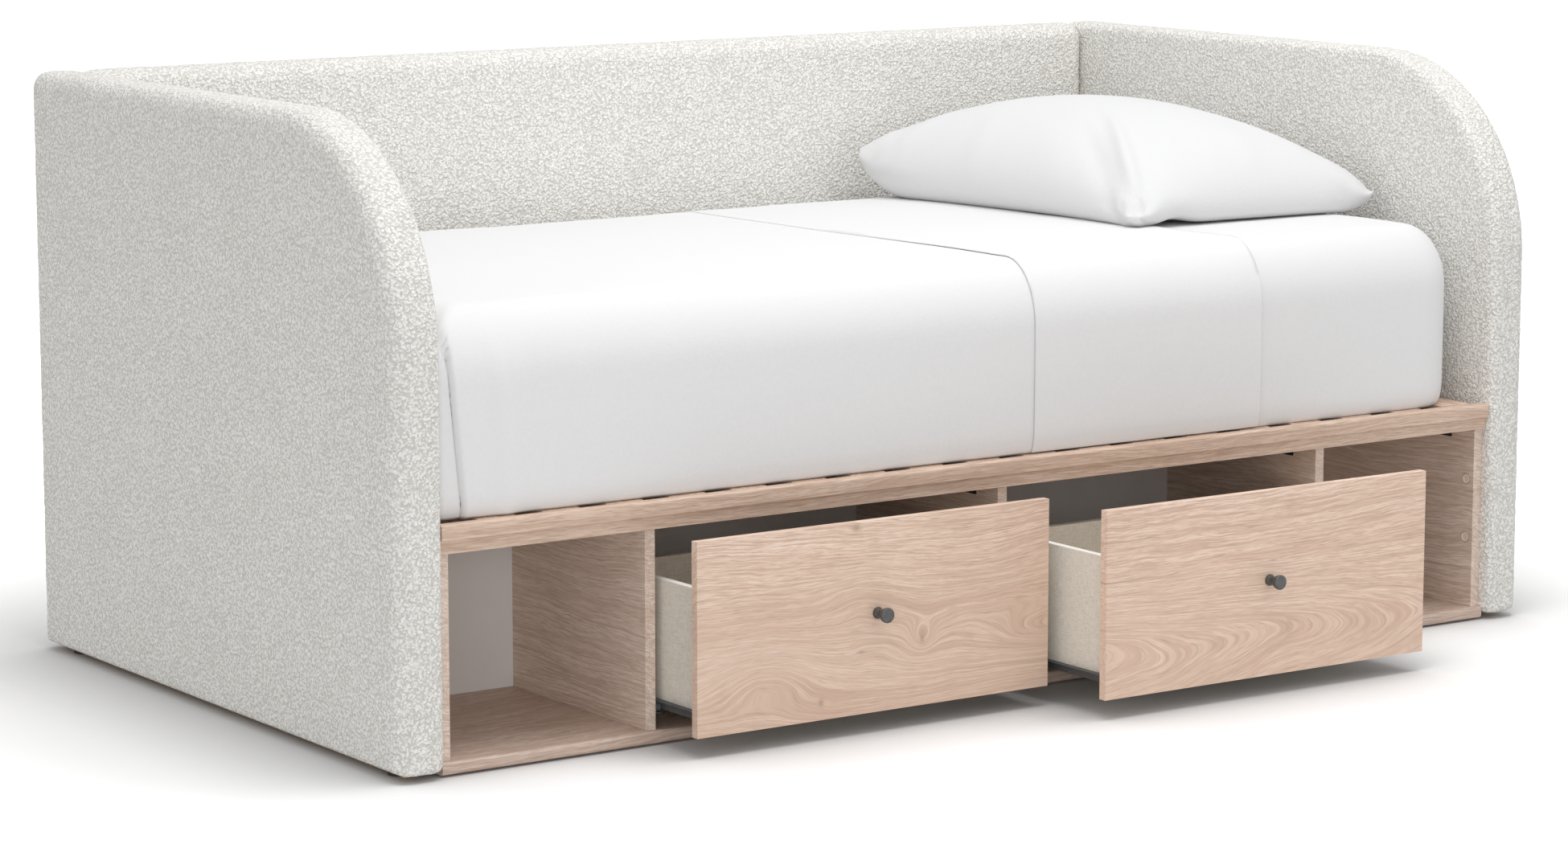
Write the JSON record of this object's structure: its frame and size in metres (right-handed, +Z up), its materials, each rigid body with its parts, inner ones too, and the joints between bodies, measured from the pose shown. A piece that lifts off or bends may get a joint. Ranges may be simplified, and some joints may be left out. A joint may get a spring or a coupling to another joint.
{
  "type": "storage daybed",
  "caption": "Storage daybed with padded looped-fabric side and back panels, open cubbies, sliding drawers on roller runners, a slatted base, a mattress, a top sheet and a pillow.",
  "frame": {"origin": "middle of the bounding box on the floor, with both drawers open as they rest", "axes": "+X along the length towards the head end with the pillow, +Y from the drawers to the back panel, +Z up"},
  "size_m": [2.083, 1.3818, 0.904],
  "materials": {
    "boucle": "looped off-white boucle over foam",
    "structural_timber": "plain unfinished timber",
    "oak_laminate": "pale oak grain laminate, satin",
    "backing_board": "grey-white faced board",
    "drawer_linen": "linen-look laminate",
    "runner_steel": "dark grey coated steel",
    "roller_nylon": "moulded nylon",
    "knob_gunmetal": "dark gunmetal, satin",
    "glide_plastic": "black moulded plastic",
    "mattress_cotton": "white cotton fitted sheet",
    "sheet_cotton": "white cotton percale",
    "pillow_cotton": "white cotton percale"
  },
  "bodies": {
    "root": {"left_panel_cover": "boucle", "right_panel_cover": "boucle", "back_panel_cover": "boucle", "left_panel_board": "structural_timber", "right_panel_board": "structural_timber", "back_panel_board": "structural_timber", "slat_roll": "structural_timber", "rear_ledger": "structural_timber", "mid_beam": "structural_timber", "beam_leg_left": "structural_timber", "beam_leg_right": "structural_timber", "base_board": "oak_laminate", "end_panel_left": "oak_laminate", "end_panel_right": "oak_laminate", "divider_left": "oak_laminate", "divider_centre": "oak_laminate", "divider_right": "oak_laminate", "front_top_strip": "oak_laminate", "rear_top_strip": "oak_laminate", "front_rail": "oak_laminate", "back_board": "backing_board", "left_runner_inner": "runner_steel", "left_runner_outer": "runner_steel", "right_runner_inner": "runner_steel", "right_runner_outer": "runner_steel", "glide_left_front": "glide_plastic", "glide_left_rear": "glide_plastic", "glide_right_front": "glide_plastic", "glide_right_rear": "glide_plastic", "base_glide_front": "glide_plastic", "base_glide_rear": "glide_plastic", "mattress": "mattress_cotton", "top_sheet": "sheet_cotton", "pillow": "pillow_cotton"},
    "drawer_left": {"drawer_left_front": "oak_laminate", "drawer_left_knob": "knob_gunmetal", "drawer_left_side_outer": "drawer_linen", "drawer_left_side_inner": "drawer_linen", "drawer_left_back": "drawer_linen", "drawer_left_bottom": "drawer_linen", "drawer_left_rail_outer": "runner_steel", "drawer_left_rail_inner": "runner_steel"},
    "left_runner_roller_outer": {"left_runner_roller_outer": "roller_nylon"},
    "drawer_left_roller_outer": {"drawer_left_roller_outer": "roller_nylon"},
    "left_runner_roller_inner": {"left_runner_roller_inner": "roller_nylon"},
    "drawer_left_roller_inner": {"drawer_left_roller_inner": "roller_nylon"},
    "drawer_right": {"drawer_right_front": "oak_laminate", "drawer_right_knob": "knob_gunmetal", "drawer_right_side_outer": "drawer_linen", "drawer_right_side_inner": "drawer_linen", "drawer_right_back": "drawer_linen", "drawer_right_bottom": "drawer_linen", "drawer_right_rail_outer": "runner_steel", "drawer_right_rail_inner": "runner_steel"},
    "right_runner_roller_outer": {"right_runner_roller_outer": "roller_nylon"},
    "drawer_right_roller_outer": {"drawer_right_roller_outer": "roller_nylon"},
    "right_runner_roller_inner": {"right_runner_roller_inner": "roller_nylon"},
    "drawer_right_roller_inner": {"drawer_right_roller_inner": "roller_nylon"}
  },
  "joints": [
    {"name": "drawer_left_slide", "type": "slide", "parent": "root", "child": "drawer_left", "axis": [0, -1, 0], "range_m": [-0.102, 0.138]},
    {"name": "drawer_right_slide", "type": "slide", "parent": "root", "child": "drawer_right", "axis": [0, -1, 0], "range_m": [-0.2314, 0.0086]},
    {"name": "left_runner_roller_inner_spin", "type": "hinge", "parent": "root", "child": "left_runner_roller_inner", "pos_m": [-0.01465, -0.40705, 0.054], "axis": [1, 0, 0], "continuous": true},
    {"name": "drawer_left_roller_inner_spin", "type": "hinge", "parent": "drawer_left", "child": "drawer_left_roller_inner", "pos_m": [-0.01465, -0.22815, 0.054], "axis": [1, 0, 0], "continuous": true},
    {"name": "left_runner_roller_outer_spin", "type": "hinge", "parent": "root", "child": "left_runner_roller_outer", "pos_m": [-0.6083, -0.40705, 0.054], "axis": [1, 0, 0], "continuous": true},
    {"name": "drawer_left_roller_outer_spin", "type": "hinge", "parent": "drawer_left", "child": "drawer_left_roller_outer", "pos_m": [-0.6083, -0.22815, 0.054], "axis": [1, 0, 0], "continuous": true},
    {"name": "right_runner_roller_inner_spin", "type": "hinge", "parent": "root", "child": "right_runner_roller_inner", "pos_m": [0.01465, -0.40705, 0.054], "axis": [1, 0, 0], "continuous": true},
    {"name": "drawer_right_roller_inner_spin", "type": "hinge", "parent": "drawer_right", "child": "drawer_right_roller_inner", "pos_m": [0.01465, -0.35755, 0.054], "axis": [1, 0, 0], "continuous": true},
    {"name": "right_runner_roller_outer_spin", "type": "hinge", "parent": "root", "child": "right_runner_roller_outer", "pos_m": [0.6083, -0.40705, 0.054], "axis": [1, 0, 0], "continuous": true},
    {"name": "drawer_right_roller_outer_spin", "type": "hinge", "parent": "drawer_right", "child": "drawer_right_roller_outer", "pos_m": [0.6083, -0.35755, 0.054], "axis": [1, 0, 0], "continuous": true}
  ],
  "couplings": [
    {"joint": "left_runner_roller_inner_spin", "follows": "drawer_left_slide", "rad_per_m": 125},
    {"joint": "drawer_left_roller_inner_spin", "follows": "drawer_left_slide", "rad_per_m": 125},
    {"joint": "left_runner_roller_outer_spin", "follows": "drawer_left_slide", "rad_per_m": 125},
    {"joint": "drawer_left_roller_outer_spin", "follows": "drawer_left_slide", "rad_per_m": 125},
    {"joint": "right_runner_roller_inner_spin", "follows": "drawer_right_slide", "rad_per_m": 125},
    {"joint": "drawer_right_roller_inner_spin", "follows": "drawer_right_slide", "rad_per_m": 125},
    {"joint": "right_runner_roller_outer_spin", "follows": "drawer_right_slide", "rad_per_m": 125},
    {"joint": "drawer_right_roller_outer_spin", "follows": "drawer_right_slide", "rad_per_m": 125}
  ]
}
